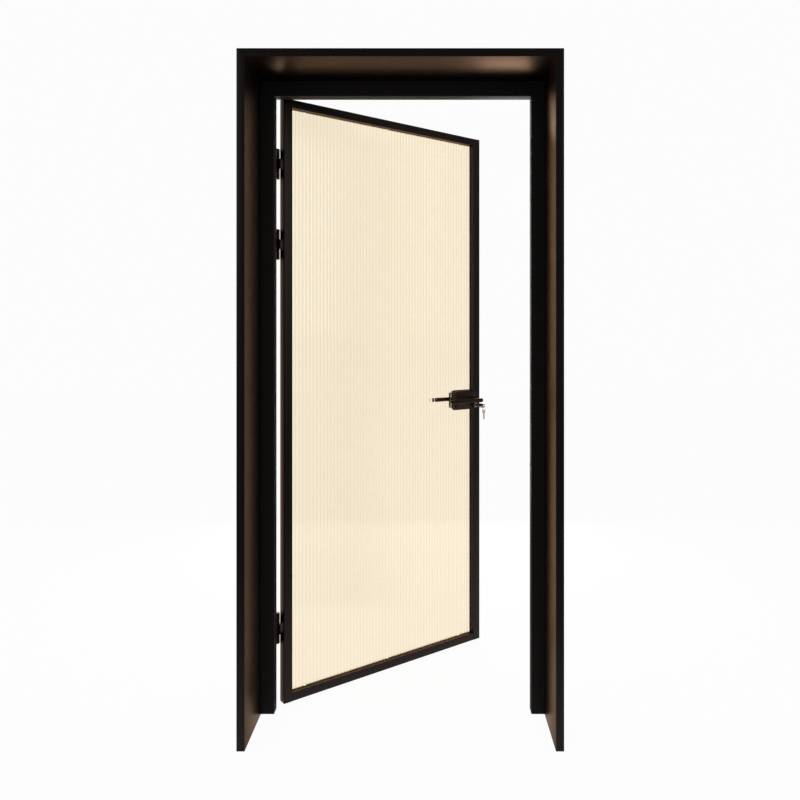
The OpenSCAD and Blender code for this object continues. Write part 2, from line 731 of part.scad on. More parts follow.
// Lock covers: thick plates over the box and the stile, with softened edges
module cover_outline(inset) {
    polygon(rounded([[box_u0 + inset, box_z0 + inset], [cover_u1 - inset, box_z0 + inset],
        [cover_u1 - inset, box_z1 - inset], [box_u0 + inset, box_z1 - inset]], cover_corner_r - inset, 8));
}
module lock_cover() {
    soft = 0.8;
    difference() {
        union() {
            slab(-cover_t + soft, 0) cover_outline(0);
            slab(-cover_t, -cover_t + soft) cover_outline(soft);
        }
        into_leaf(axis_u, -cover_t - cut, lever_z) cylinder(r = neck_r + fit_gap, h = cover_t + 2 * cut);
        into_leaf(axis_u, -cover_t - cut, cylinder_z)
            cylinder(r = cylinder_r + fit_gap / 2, h = cover_t + 2 * cut);
    }
}
module cover_screw_set(gap) {
    for (p = cover_screws_at)
        translate([p.x, leaf_thickness + cover_t, p.y]) rotate([90, 0, 0])
            csk_screw(cover_screw_r + gap, cover_screw_r * 2 + gap, cover_screw_r, leaf_thickness + cover_t);
}
// The near cover has a threaded boss for each cover screw
module near_lock_cover() {
    color(hardware) on_leaf() difference() {
        union() {
            lock_cover();
            for (p = cover_screws_at)
                into_leaf(p.x, 0, p.y) cylinder(r = cover_screw_r * 2, h = 12);
        }
        cover_screw_set(fit_gap / 3);
    }
}
module far_lock_cover() {
    color(hardware) on_leaf() difference() {
        far_side() lock_cover();
        cover_screw_set(fit_gap / 3);
    }
}
module cover_screws() { color(steel) on_leaf() cover_screw_set(0); }

// Lock case: a closed sheet box that holds the follower and guides both bolts
module lock_case() {
    w = case_wall;
    color(steel) on_leaf() difference() {
        translate([case_u0, mid_t - case_t / 2, lever_z - case_h / 2])
            cube([case_u1 - case_u0, case_t, case_h]);
        translate([case_u0 + w, mid_t - case_t / 2 + w, lever_z - case_h / 2 + w])
            cube([case_u1 - case_u0, case_t - 2 * w, case_h - 2 * w]);
        into_leaf(axis_u, -cut, lever_z) cylinder(r = boss_r + running_gap, h = leaf_thickness + 2 * cut);
        into_leaf(axis_u, -cut, cylinder_z)
            cylinder(r = cylinder_r + fit_gap / 2, h = leaf_thickness + 2 * cut);
    }
}
module plate_screw_set(gap) {
    for (side = [-1, 1])
        translate([leaf_w, mid_t, lever_z + side * plate_screw_z]) rotate([0, -90, 0])
            csk_screw(plate_screw_r + gap, plate_screw_r * 2 + gap, plate_t * 0.9, 7);
}
module lock_faceplate() {
    color(steel) on_leaf() difference() {
        translate([case_u1, plate_t0, lever_z - plate_h / 2]) rotate([0, 90, 0]) mirror([1, 0, 0])
            linear_extrude(plate_t) polygon(rounded(block(0, 0, plate_h, plate_w), 1, 4));
        translate([case_u1 - cut, 0, 0]) bolt_holes(bolt_gap);
        plate_screw_set(fit_gap / 3);
    }
}
module faceplate_screws() { color(steel) on_leaf() plate_screw_set(0); }
module lever_roses() {
    color(hardware) on_leaf() for (side = [0, 1])
        translate([axis_u, side * leaf_thickness, lever_z]) mirror([0, side, 0])
            translate([0, -cover_t, 0]) rotate([90, 0, 0]) rotate_extrude()
                polygon([[neck_r + running_gap, 0], [rose_r, 0], [rose_r, rose_h - 1],
                    [rose_r - 1, rose_h], [neck_r + running_gap, rose_h]]);
}
module cylinder_halves() {
    near_end = mid_t - half_gap / 2 - 0.5;
    far_end = mid_t + half_gap / 2 - 0.5;
    color(steel) on_leaf() {
        difference() {
            into_leaf(axis_u, -cylinder_out, cylinder_z) cylinder(r = cylinder_r, h = cylinder_out + near_end);
            into_leaf(axis_u, -cylinder_out - cut, cylinder_z)
                cylinder(r = plug_r + running_gap, h = cylinder_out + near_end + 2 * cut);
        }
        difference() {
            into_leaf(axis_u, far_end, cylinder_z)
                cylinder(r = cylinder_r, h = leaf_thickness + cylinder_out - far_end);
            translate([axis_u - key_t / 2, leaf_thickness + cylinder_out - 3, cylinder_z - 4])
                cube([key_t, 3 + cut, 8]);
        }
    }
}

// Levers: a neck on the spindle and a straight bar with rounded edges and ends
module bar_profile() {
    polygon(rounded(block(-lever_h / 2, -lever_t / 2, lever_h / 2, lever_t / 2), bar_r, 5));
}
module bar_end() {
    rotate([90, 0, 0]) rotate_extrude() intersection() {
        bar_profile();
        translate([0, -lever_t]) square([lever_h, 2 * lever_t]);
    }
}
module lever() {
    bar_len = lever_len - lever_h / 2;
    difference() {
        union() {
            translate([axis_u, -lever_standoff, lever_z]) {
                rotate([0, -90, 0]) linear_extrude(bar_len) bar_profile();
                bar_end();
                translate([-bar_len, 0, 0]) bar_end();
            }
            translate([axis_u, neck_end, lever_z]) rotate([90, 0, 0])
                cylinder(r = neck_r, h = lever_standoff + neck_end);
        }
        translate([axis_u, 0, lever_z]) cube([spindle_w + 0.2, 2 * spindle_reach, spindle_w + 0.2], center = true);
    }
}
spindle_reach = 24;
module near_lever() { color(hardware) on_leaf() lever(); }
module far_lever() { color(hardware) on_leaf() far_side() lever(); }
module lever_spindle() {
    l = leaf_thickness + 2 * spindle_reach - 1;
    color(steel) on_leaf() translate([axis_u, mid_t, lever_z]) cube([spindle_w, l, spindle_w], center = true);
}
module lever_follower() {
    color(steel) on_leaf() difference() {
        into_leaf(axis_u, mid_t, lever_z) {
            cylinder(r = follower_r, h = bolt_t, center = true);
            cylinder(r = boss_r, h = case_t, center = true);
        }
        translate([axis_u, mid_t, lever_z])
            cube([spindle_w + 0.2, case_t + 2 * cut, spindle_w + 0.2], center = true);
    }
}

// Latch bolt: its near side is sloped so that the closing door pushes it in
module latch_bolt() {
    t0 = mid_t - bolt_t / 2;
    color(steel) on_leaf() translate([0, 0, latch_z - latch_h / 2]) linear_extrude(latch_h)
        polygon([[leaf_w - latch_tail, t0], [leaf_w + 1, t0], [leaf_w + latch_throw, t0 + bolt_t * 0.8],
            [leaf_w + latch_throw, t0 + bolt_t], [leaf_w - latch_tail, t0 + bolt_t]]);
}
// Dead bolt: a square head and a thin tail that passes behind the cam
module dead_bolt() {
    tail_t0 = mid_t + cam_t / 2 - 1;
    tail_l = 30;
    color(steel) on_leaf() {
        translate([bolt_u0, mid_t - bolt_t / 2, bolt_z - bolt_h / 2])
            cube([leaf_w - 0.5 - bolt_u0, bolt_t, bolt_h]);
        translate([bolt_u0 - tail_l, tail_t0, bolt_z - bolt_h / 2 + 1])
            cube([tail_l + 1, bolt_tail_t, bolt_h - 2]);
    }
}
bolt_tail_t = 2;

// Keys: flat keys with a round bow, one in the cylinder and one hanging from it on a ring
module flat_key(r, bow_l, l, hole_in) {
    neck = 4;
    difference() {
        union() {
            translate([r, 0]) circle(r = r);
            translate([bow_l - r, 0]) circle(r = r);
            translate([r, -r]) square([bow_l - 2 * r, 2 * r]);
            translate([bow_l - 2, -neck]) square([l - bow_l, 2 * neck]);
            translate([l - 4, 0]) circle(r = neck);
        }
        translate([hole_in, 0]) circle(r = key_hole_r);
        for (i = [0 : 3])
            translate([l - 6 - 4.6 * i, neck + 0.6]) rotate(45) square(2.2 + 0.5 * (i % 2), center = true);
    }
}
module cylinder_plug() {
    near_end = mid_t - half_gap / 2 - 0.5;
    cam_mid = mid_t - 1.9;
    color(steel) on_leaf() difference() {
        union() {
            into_leaf(axis_u, -cylinder_out, cylinder_z) cylinder(r = plug_r, h = cylinder_out + near_end);
            into_leaf(axis_u, near_end - cut, cylinder_z) cylinder(r = plug_r - 1, h = cut + cam_t + fit_gap);
            translate([axis_u - 2.5, near_end + fit_gap, cylinder_z]) cube([5, cam_t, cam_r]);
        }
        translate([axis_u - key_t / 2 - 0.1, -cylinder_out - cut, cylinder_z - 4.1])
            cube([key_t + 0.2, cylinder_out + cut + 8, 8.2]);
    }
}
module key() {
    color(steel) on_leaf() translate([axis_u + key_t / 2, -key_reach, cylinder_z]) rotate([0, -90, 0])
        linear_extrude(key_t) rotate(90) mirror([0, 1]) flat_key(bow_r, bow_len, key_reach + 7, key_hole_in);
}
module key_ring() {
    color(steel) on_leaf() translate([axis_u, hole_t, ring_z]) rotate([90, 0, 0])
        rotate_extrude() translate([ring_r, 0]) circle(r = ring_wire_r, $fn = 24);
}
module spare_key() {
    color(steel) on_leaf() translate([axis_u - key_t / 2, hole_t, spare_top_z]) rotate([0, 90, 0])
        linear_extrude(key_t) flat_key(spare_bow_r, spare_bow_len, spare_len, key_hole_in);
}

hinge_jamb_lining();
lock_jamb_lining();
head_lining();
lining_corner_cleats();
hinge_jamb_rebate();
lock_jamb_rebate();
head_rebate();
hinge_jamb_seal();
lock_jamb_seal();
head_seal();
strike_plate();
strike_box();
strike_screws();
lower_hinge_jamb_wing();
middle_hinge_jamb_wing();
upper_hinge_jamb_wing();
lower_hinge_pin();
middle_hinge_pin();
upper_hinge_pin();
hinge_pin_caps();
hinge_jamb_screws();
hinge_stile();
lock_stile();
top_rail();
bottom_rail();
glass_pane();
near_glass_seal();
far_glass_seal();
setting_blocks();
hinge_side_bead();
lock_side_beads();
top_bead();
bottom_bead();
bead_screws();
lock_box();
lock_box_seal();
near_lock_cover();
far_lock_cover();
cover_screws();
lock_case();
lock_faceplate();
faceplate_screws();
lever_roses();
cylinder_halves();
lower_hinge_door_wing();
middle_hinge_door_wing();
upper_hinge_door_wing();
hinge_door_screws();
near_lever();
far_lever();
lever_spindle();
lever_follower();
latch_bolt();
dead_bolt();
cylinder_plug();
key();
key_ring();
spare_key();
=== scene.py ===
import bpy
import bmesh
import math
from mathutils import Matrix, Vector


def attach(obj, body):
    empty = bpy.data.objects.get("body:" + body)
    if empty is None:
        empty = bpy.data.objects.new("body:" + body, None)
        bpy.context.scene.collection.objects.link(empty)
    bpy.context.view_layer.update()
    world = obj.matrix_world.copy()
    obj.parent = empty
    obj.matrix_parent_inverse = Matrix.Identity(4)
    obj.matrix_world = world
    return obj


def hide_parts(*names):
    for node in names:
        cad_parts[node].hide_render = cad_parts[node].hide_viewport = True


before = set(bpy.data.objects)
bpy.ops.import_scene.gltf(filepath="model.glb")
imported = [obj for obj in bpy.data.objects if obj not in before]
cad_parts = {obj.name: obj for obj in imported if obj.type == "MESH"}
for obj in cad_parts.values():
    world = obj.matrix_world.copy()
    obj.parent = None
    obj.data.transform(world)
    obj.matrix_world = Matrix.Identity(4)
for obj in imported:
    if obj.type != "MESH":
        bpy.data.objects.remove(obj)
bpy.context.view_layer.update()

# Camera: level, a little above mid height and left of the doorway's middle, looking straight through
# the frame. The lens and its shift put the vanishing point where the photograph has it.
picture = 800
focal_px = 713
vanish_x, vanish_y = 428, 334
sensor_mm = 36
camera = bpy.data.objects.new("camera", bpy.data.cameras.new("camera"))
bpy.context.scene.collection.objects.link(camera)
camera.location = (0.5846, -2.174, 1.273)
camera.rotation_euler = (math.radians(90), 0, 0)
camera.data.sensor_width = sensor_mm
camera.data.lens = sensor_mm * focal_px / picture
camera.data.shift_x = (picture / 2 - vanish_x) / picture
camera.data.shift_y = (vanish_y - picture / 2) / picture
camera.data.clip_end = 60
bpy.context.scene.camera = camera
bpy.context.scene.view_settings.view_transform = "Standard"


# Wire: one value in a shader or geometry tree. Arithmetic on it adds the Math nodes, and node()
# adds any other node.
class Wire:
    def __init__(self, tree, socket=None):
        self.tree = tree
        self.socket = socket

    def node(self, kind, settings=None, links=None, out=0):
        made = self.tree.nodes.new(kind)
        for name, value in (settings or {}).items():
            setattr(made, name, value)
        for name, value in (links or {}).items():
            for one in value if isinstance(value, list) else [value]:
                if isinstance(one, Wire):
                    self.tree.links.new(one.socket, made.inputs[name])
                else:
                    made.inputs[name].default_value = one
        return Wire(self.tree, made.outputs[out] if len(made.outputs) else None)

    def maths(self, operation, *values):
        return self.node("ShaderNodeMath", {"operation": operation}, dict(enumerate(values)))

    def __add__(self, other):
        return self.maths("ADD", self, other)

    def __sub__(self, other):
        return self.maths("SUBTRACT", self, other)

    def __rsub__(self, other):
        return self.maths("SUBTRACT", other, self)

    def __mul__(self, other):
        return self.maths("MULTIPLY", self, other)

    def __truediv__(self, other):
        return self.maths("DIVIDE", self, other)

    __radd__ = __add__
    __rmul__ = __mul__

    def mix(self, low, high):
        return self.node("ShaderNodeMix", {"data_type": "RGBA"}, {0: self, 6: low, 7: high}, out=2)

    def part_of(self, axis):
        return self.node("ShaderNodeSeparateXYZ", links={0: self}, out=axis)


# Studio: a plain pale floor under a plain white surround. Both show white to the camera and
# through the glass. In reflections they are bright behind the door and dim in front of it.
def rays(wire):
    sockets = wire.node("ShaderNodeLightPath").socket.node.outputs
    kinds = ("Is Camera Ray", "Is Transmission Ray", "Is Glossy Ray")
    camera_ray, through_glass, glossy = [Wire(wire.tree, sockets[kind]) for kind in kinds]
    return wire.maths("MAXIMUM", camera_ray, through_glass), glossy


white = bpy.data.materials.new("studio_white")
white.use_nodes = True
white.node_tree.nodes.clear()
wire = Wire(white.node_tree)
straight, glossy = rays(wire)
fade = wire.node("ShaderNodeMapRange", {"interpolation_type": "SMOOTHSTEP"}, {
    "Value": wire.node("ShaderNodeTexCoord", out="Object").part_of("Y"),
    "From Min": -1.5, "From Max": 1.0, "To Min": 0.12, "To Max": 1.0})
matt = wire.node("ShaderNodeBsdfDiffuse", links={"Color": (0.82, 0.82, 0.82, 1)})
glow = wire.node("ShaderNodeEmission", links={
    "Color": (1, 1, 1, 1), "Strength": wire.maths("MAXIMUM", straight, glossy * fade)})
glow_share = wire.maths("MAXIMUM", straight, glossy) * 0.96
both = wire.node("ShaderNodeMixShader", links={0: glow_share, 1: matt, 2: glow})
wire.node("ShaderNodeOutputMaterial", links={"Surface": both})
ground = bpy.data.meshes.new("floor")
ground.from_pydata([(-14, -12, 0), (15, -12, 0), (15, 14, 0), (-14, 14, 0)], [], [(0, 1, 2, 3)])
ground.materials.append(white)
floor = bpy.data.objects.new("floor", ground)
bpy.context.scene.collection.objects.link(floor)

world = bpy.data.worlds.new("studio")
world.use_nodes = True
world.node_tree.nodes.clear()
wire = Wire(world.node_tree)
straight, glossy = rays(wire)
backdrop = wire.node("ShaderNodeMapRange", {"interpolation_type": "SMOOTHSTEP"}, {
    "Value": wire.node("ShaderNodeTexCoord", out="Generated").part_of("Y"),
    "From Min": -0.3, "From Max": 0.7, "To Min": 0.13, "To Max": 0.90})
seen_level, room_level = 0.975, 0.42
plain = wire.maths("MAXIMUM", glossy * backdrop, (1 - glossy) * room_level)
sky = wire.node("ShaderNodeBackground", links={
    "Color": (1, 1, 1, 1), "Strength": wire.maths("MAXIMUM", straight * seen_level, plain)})
wire.node("ShaderNodeOutputWorld", links={"Surface": sky})
bpy.context.scene.world = world


# Lamps: a soft panel in front on each side, and a wide warm one behind the doorway that gives the
# jambs the brown sheen they have in the photograph.
def panel(name, place, aim, size, power, colour=(1, 1, 1)):
    lamp = bpy.data.lights.new(name, "AREA")
    lamp.shape = "RECTANGLE"
    lamp.size, lamp.size_y = size
    lamp.energy = power
    lamp.color = colour
    holder = bpy.data.objects.new(name, lamp)
    bpy.context.scene.collection.objects.link(holder)
    holder.location = place
    holder.rotation_euler = (Vector(aim) - Vector(place)).to_track_quat("-Z", "Y").to_euler()
    holder.visible_camera = False
    holder.visible_transmission = False


doorway_middle = (0.5, 0.2, 1.0)
panel("left_panel", (-2.6, -2.4, 2.6), doorway_middle, size=(2.0, 2.4), power=18)
panel("right_panel", (3.8, -2.0, 2.4), doorway_middle, size=(2.0, 2.4), power=18)
panel("rear_panel", (0.45, 2.6, 1.4), (0.45, 0.0, 1.2), size=(2.2, 2.5), power=88,
      colour=(1.0, 0.93, 0.87))


# Lining: three flat hollow steel profiles, 214 mm deep, mitred at the head and joined there by
# cleats. They are powder coated near-black, semi-gloss, with a fine orange peel, a metallic fleck and a
# brown cast in the sheen that is painted warm light, and the outer faces, which the wall hides, keep a
# dull primer.
def finish(name, **uniform):
    material = bpy.data.materials.new(name)
    material.use_nodes = True
    shader = material.node_tree.nodes["Principled BSDF"]
    for socket, value in uniform.items():
        shader.inputs[socket.replace("_", " ")].default_value = value
    return material, Wire(material.node_tree), shader


def feed(shader, name, value):
    value.tree.links.new(value.socket, shader.inputs[name])


def bumped(shader, height, distance):
    feed(shader, "Normal", height.node("ShaderNodeBump", links={
        "Strength": 1.0, "Distance": distance, "Height": height}, out="Normal"))


def powder_coat(name, dark, light, roughness, peel, half_width=None, top=None):
    # The brown Specular Tint is a painted warm reflection: it turns the sheen brown under white light.
    material, wire, shader = finish(name, IOR=1.45, Specular_Tint=(1.0, 0.74, 0.58, 1))
    place = wire.node("ShaderNodeTexCoord", out="Object")
    cloud = wire.node("ShaderNodeTexNoise", links={"Vector": place, "Scale": 2.2, "Detail": 3.0})
    peel_skin = wire.node("ShaderNodeTexNoise", links={"Vector": place, "Scale": 520.0, "Detail": 2.0})
    fleck = wire.node("ShaderNodeTexVoronoi", links={"Vector": place, "Scale": 1700.0})
    bright = fleck.maths("LESS_THAN", fleck, 0.16)
    metal = bright * 0.1 + 0.85
    rough = cloud * 0.10 + peel_skin * 0.08 + (roughness - 0.09)
    if top:
        face_depth = 0.0002
        off_middle = place.part_of("X") - half_width
        beside = wire.maths("GREATER_THAN", wire.maths("ABSOLUTE", off_middle), half_width - face_depth)
        above = wire.maths("GREATER_THAN", place.part_of("Z"), top - face_depth)
        primer = wire.maths("MAXIMUM", beside, above)
        metal = metal * (1 - primer)
        rough = rough + primer * 0.38
    feed(shader, "Base Color", (cloud * 0.6 + bright * 0.4).mix(dark, light))
    feed(shader, "Metallic", metal)
    feed(shader, "Roughness", rough)
    bumped(shader, peel_skin, peel)
    return material


# The dressed copy of a CAD node has merged corners and a fine round on its sharp edges.
def dress(nodes, body, material, edge=0):
    for name in nodes:
        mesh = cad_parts[name].data.copy()
        mesh.materials.clear()
        mesh.materials.append(material)
        shape = bmesh.new()
        shape.from_mesh(mesh)
        bmesh.ops.remove_doubles(shape, verts=shape.verts, dist=2e-6)
        bmesh.ops.dissolve_limit(
            shape, angle_limit=math.radians(0.5), verts=shape.verts, edges=shape.edges)
        shape.to_mesh(mesh)
        shape.free()
        piece = bpy.data.objects.new("dressed_" + name, mesh)
        bpy.context.scene.collection.objects.link(piece)
        if edge:
            rounding = piece.modifiers.new("edge", "BEVEL")
            rounding.width = edge
            rounding.segments = 2
            rounding.limit_method = "ANGLE"
            rounding.angle_limit = math.radians(50)
            evaluated = piece.evaluated_get(bpy.context.evaluated_depsgraph_get())
            mesh = bpy.data.meshes.new_from_object(evaluated)
            piece.modifiers.clear()
            piece.data = mesh
        mesh.shade_smooth()
        mesh.set_sharp_from_angle(angle=math.radians(38))
        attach(piece, body)
        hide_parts(name)


frame_width, frame_height = 1.0, 2.145
frame_coat = {"dark": (0.019, 0.016, 0.017, 1), "light": (0.038, 0.032, 0.032, 1),
              "roughness": 0.38, "peel": 0.00005}
lining_coat = powder_coat("lining_coat", **frame_coat, half_width=frame_width / 2, top=frame_height)
dress(["hinge_jamb_lining", "lock_jamb_lining", "head_lining"], "frame", lining_coat)


# Corner cleats: flat steel angles, cut from bar, pushed into the ends of the lining profiles and
# glued there, so that the mitres stay shut. The lining hides them.
def brushed_steel(name, dark, light, roughness):
    material, wire, shader = finish(name, Metallic=1.0)
    place = wire.node("ShaderNodeTexCoord", out="Object")
    stretched = wire.node("ShaderNodeMapping", links={0: place, "Scale": (1.0, 1.0, 0.03)})
    lines = wire.node("ShaderNodeTexNoise", links={"Vector": stretched, "Scale": 2600.0, "Detail": 2.0})
    smudge = wire.node("ShaderNodeTexNoise", links={"Vector": place, "Scale": 60.0, "Detail": 3.0})
    feed(shader, "Base Color", (lines * 0.6 + smudge * 0.4).mix(dark, light))
    feed(shader, "Roughness", lines * 0.12 + smudge * 0.12 + (roughness - 0.12))
    bumped(shader, lines, 0.00002)
    return material


bare_steel = brushed_steel("bare_steel", (0.34, 0.34, 0.33, 1), (0.56, 0.56, 0.54, 1), roughness=0.34)
dress(["lining_corner_cleats"], "frame", bare_steel, edge=0.0005)


# Rebate: folded steel profiles welded behind the lining, with a matt coat. Their front part is the
# stop and the step behind it takes the closed leaf. Four anchors in each jamb hold them to the wall.
def matt_skin(name, dark, light, specular, grain_scale, roughness, depth):
    material, wire, shader = finish(name, IOR=1.5, Specular_IOR_Level=specular)
    place = wire.node("ShaderNodeTexCoord", out="Object")
    grain = wire.node("ShaderNodeTexNoise", links={"Vector": place, "Scale": grain_scale, "Detail": 3.0})
    feed(shader, "Base Color", grain.mix(dark, light))
    feed(shader, "Roughness", grain * 0.16 + roughness)
    bumped(shader, grain, depth)
    return material


rebate_coat = matt_skin("rebate_coat", (0.008, 0.007, 0.007, 1), (0.015, 0.013, 0.012, 1),
                        specular=0.12, grain_scale=520.0, roughness=0.54, depth=0.00005)
dress(["hinge_jamb_rebate", "lock_jamb_rebate", "head_rebate"], "frame", rebate_coat)

# Stop seals: strips of black rubber glued to the back of the stop, where the closed leaf presses on
# them and keeps draughts out.
seal_rubber = matt_skin("seal_rubber", (0.008, 0.008, 0.008, 1), (0.022, 0.022, 0.021, 1),
                        specular=0.5, grain_scale=900.0, roughness=0.60, depth=0.00006)
dress(["hinge_jamb_seal", "lock_jamb_seal", "head_seal"], "frame", seal_rubber)

# Strike: a stainless plate screwed to the lock jamb, with a hole for each bolt and a closed steel
# box behind it that catches them.
plate_steel = brushed_steel("plate_steel", (0.36, 0.36, 0.35, 1), (0.54, 0.54, 0.52, 1), roughness=0.34)
dress(["strike_plate"], "frame", plate_steel, edge=0.0003)
dress(["strike_box"], "frame", bare_steel, edge=0.0002)

# Hinges: three barrel hinges of steel, powder coated like the frame, with plain steel pins under
# flat caps. One wing is screwed to the back of the jamb and the other to the far face of the leaf.
hinge_coat = powder_coat("hinge_coat", (0.016, 0.014, 0.014, 1), (0.032, 0.027, 0.026, 1),
                         roughness=0.45, peel=0.00003)
hinges = ["lower_hinge", "middle_hinge", "upper_hinge"]
dress([one + "_jamb_wing" for one in hinges] + ["hinge_pin_caps"],
      "frame", hinge_coat, edge=0.0004)
dress([one + "_door_wing" for one in hinges], "leaf", hinge_coat, edge=0.0004)
dress([one + "_pin" for one in hinges], "frame", bare_steel)

# Leaf: two stiles and two rails of one slim hollow steel section, 32 mm thick, with a glazing nib on
# the near side. The rails are cut round the nibs of the stiles, and the corners are welded.
profile_coat = powder_coat("profile_coat", **frame_coat)
dress(["hinge_stile", "lock_stile", "top_rail", "bottom_rail"], "leaf", profile_coat)

# The open leaf's own directions: u across it from the hinge edge, t through it from its near face.
hinge_pin = Vector((0.057, 0.315, 0.0))
pin_depth = 0.058
swing = math.radians(37.0)
leaf_place = (Matrix.Translation(hinge_pin) @ Matrix.Rotation(swing, 4, "Z")
              @ Matrix.Translation((0, -pin_depth, 0)))
leaf_turn = leaf_place.to_3x3()


# Reeded pane: one sheet of clear rolled glass, 7 mm over its reeds, with sixty upright rounded reeds
# on the near face and a flat far face. It is notched round the lock box, and held between seals.
def grown(name, sizes, build, material, start=None):
    kinds = {int: "NodeSocketInt", float: "NodeSocketFloat"}
    tree = bpy.data.node_groups.new(name, "GeometryNodeTree")
    tree.interface.new_socket("Start", in_out="INPUT", socket_type="NodeSocketGeometry")
    tree.interface.new_socket("Shape", in_out="OUTPUT", socket_type="NodeSocketGeometry")
    inputs = {label: tree.interface.new_socket(label, in_out="INPUT", socket_type=kinds[type(value)])
              for label, value in sizes.items()}
    entry = tree.nodes.new("NodeGroupInput")
    wire = Wire(tree)
    shape = build(wire, Wire(tree, entry.outputs["Start"]),
                  {label: Wire(tree, entry.outputs[label]) for label in sizes})
    shape = wire.node("GeometryNodeRealizeInstances", links={"Geometry": shape})
    shape = wire.node("GeometryNodeSetShadeSmooth", links={"Geometry": shape, "Shade Smooth": True})
    bend = wire.node("GeometryNodeInputMeshEdgeAngle", out="Unsigned Angle")
    sharp = wire.maths("GREATER_THAN", bend, math.radians(35))
    shape = wire.node("GeometryNodeSetShadeSmooth", {"domain": "EDGE"}, {
        "Geometry": shape, "Selection": sharp, "Shade Smooth": False})
    shape = wire.node("GeometryNodeSetMaterial", links={"Geometry": shape, "Material": material})
    tree.links.new(shape.socket, tree.nodes.new("NodeGroupOutput").inputs["Shape"])
    piece = bpy.data.objects.new(name, start or bpy.data.meshes.new(name))
    bpy.context.scene.collection.objects.link(piece)
    modifier = piece.modifiers.new(name, "NODES")
    modifier.node_group = tree
    for label, value in sizes.items():
        modifier[inputs[label].identifier] = value
    evaluated = piece.evaluated_get(bpy.context.evaluated_depsgraph_get())
    mesh = bpy.data.meshes.new_from_object(evaluated)
    piece.modifiers.clear()
    piece.data = mesh
    return piece


def closed_prism(wire, face, height):
    raised = wire.node("GeometryNodeExtrudeMesh", links={
        "Mesh": face, "Offset Scale": height, "Individual": False})
    base = wire.node("GeometryNodeFlipFaces", links={"Mesh": face})
    both = wire.node("GeometryNodeJoinGeometry", links={"Geometry": [raised, base]})
    return wire.node("GeometryNodeMergeByDistance", links={"Geometry": both, "Distance": 1e-6})


def reeded_sheet(wire, start, size):
    last = size["Reeds"] * size["Facets of a reed"]
    width = size["Reeds"] * size["Reed width"]
    outline = wire.node("GeometryNodeMeshCircle", {"fill_type": "NGON"}, {
        "Vertices": last + 3, "Radius": 1.0})
    number = wire.node("GeometryNodeInputIndex")
    on_back = wire.maths("GREATER_THAN", number, last + 0.5)
    across = number * size["Reed width"] / size["Facets of a reed"]
    half = size["Reed width"] / 2
    off_crest = (wire.maths("FRACT", number / size["Facets of a reed"]) - 0.5) * size["Reed width"]
    arc = (half * half + size["Reed height"] * size["Reed height"]) / (size["Reed height"] * 2)
    rise = wire.maths("SQRT", arc * arc - off_crest * off_crest) - (arc - size["Reed height"])
    u = across * (1 - on_back) + (last + 2 - number) * width * on_back
    t = (size["Reed height"] - rise) * (1 - on_back) + size["Thickness"] * on_back
    place = wire.node("ShaderNodeCombineXYZ", links={"X": u, "Y": t})
    outline = wire.node("GeometryNodeSetPosition", links={"Geometry": outline, "Position": place})
    sheet = closed_prism(wire, outline, size["Height"])
    notch = wire.node("GeometryNodeCurvePrimitiveQuadrilateral", links={
        "Width": size["Notch width"] * 2, "Height": size["Notch height"]})
    notch = wire.node("GeometryNodeFilletCurve", {"mode": "POLY"}, {
        "Curve": notch, "Count": 8, "Radius": size["Notch corner"]})
    notch = wire.node("GeometryNodeFillCurve", {"mode": "NGONS"}, {"Curve": notch})
    notch = closed_prism(wire, notch, size["Thickness"] * 3)
    middle = wire.node("ShaderNodeCombineXYZ", links={
        "X": width, "Y": size["Thickness"] * 2, "Z": size["Notch middle"]})
    notch = wire.node("GeometryNodeTransform", links={
        "Geometry": notch, "Translation": middle, "Rotation": (math.radians(90), 0, 0)})
    return wire.node("GeometryNodeMeshBoolean", {"operation": "DIFFERENCE", "solver": "EXACT"}, {
        "Mesh 1": sheet, "Mesh 2": notch})


pane_u, pane_t, pane_z = 0.023, 0.016, 0.025
pane_width, reeds = 0.837, 60
reed_width = pane_width / reeds
glass, wire, shader = finish("reeded_glass", IOR=1.5, Transmission_Weight=1.0)
place = wire.node("ShaderNodeTexCoord", out="Object")
along = leaf_turn @ Vector((1, 0, 0))
pane_edge = (leaf_place @ Vector((pane_u, 0, 0))).dot(along)
across = wire.node("ShaderNodeVectorMath", {"operation": "DOT_PRODUCT"}, {
    0: place, 1: tuple(along)}, out="Value") - pane_edge
crest = wire.maths("SINE", wire.maths("FRACT", across / reed_width) * math.pi)
groove = wire.maths("POWER", 1 - crest, 2.2)
cast = wire.node("ShaderNodeTexNoise", links={"Vector": place, "Scale": 14.0, "Detail": 2.0})
# The cream is partly the glass's own tint and partly painted warm light from the room behind, and the
# darker tan in the grooves between the reeds is painted shade.
cream_tint_and_warm_light, deeper_tint_and_warm_light = (0.985, 0.880, 0.710, 1), (0.975, 0.845, 0.610, 1)
painted_groove_shade = (0.82, 0.74, 0.56, 1)
feed(shader, "Base Color", groove.mix(cast.mix(cream_tint_and_warm_light, deeper_tint_and_warm_light), painted_groove_shade))
feed(shader, "Roughness", cast * 0.02 + groove * 0.06 + 0.04)
bumped(shader, cast, 0.00005)
clear = wire.node("ShaderNodeBsdfTransparent", links={"Color": (0.93, 0.90, 0.84, 1)})
shadow_ray = wire.node("ShaderNodeLightPath", out="Is Shadow Ray")
surface = wire.node("ShaderNodeMixShader", links={
    0: shadow_ray, 1: Wire(wire.tree, shader.outputs["BSDF"]), 2: clear})
wire.tree.links.new(surface.socket, wire.tree.nodes["Material Output"].inputs["Surface"])
pane = grown("reeded_pane", {
    "Reeds": reeds, "Facets of a reed": 8, "Reed width": reed_width, "Reed height": 0.0011,
    "Thickness": 0.007, "Height": 2.037, "Notch width": 0.112, "Notch height": 0.082,
    "Notch corner": 0.018, "Notch middle": 0.977}, reeded_sheet, glass)
pane.data.transform(leaf_place @ Matrix.Translation((pane_u, pane_t, pane_z)))
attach(pane, "leaf")
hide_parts("glass_pane")

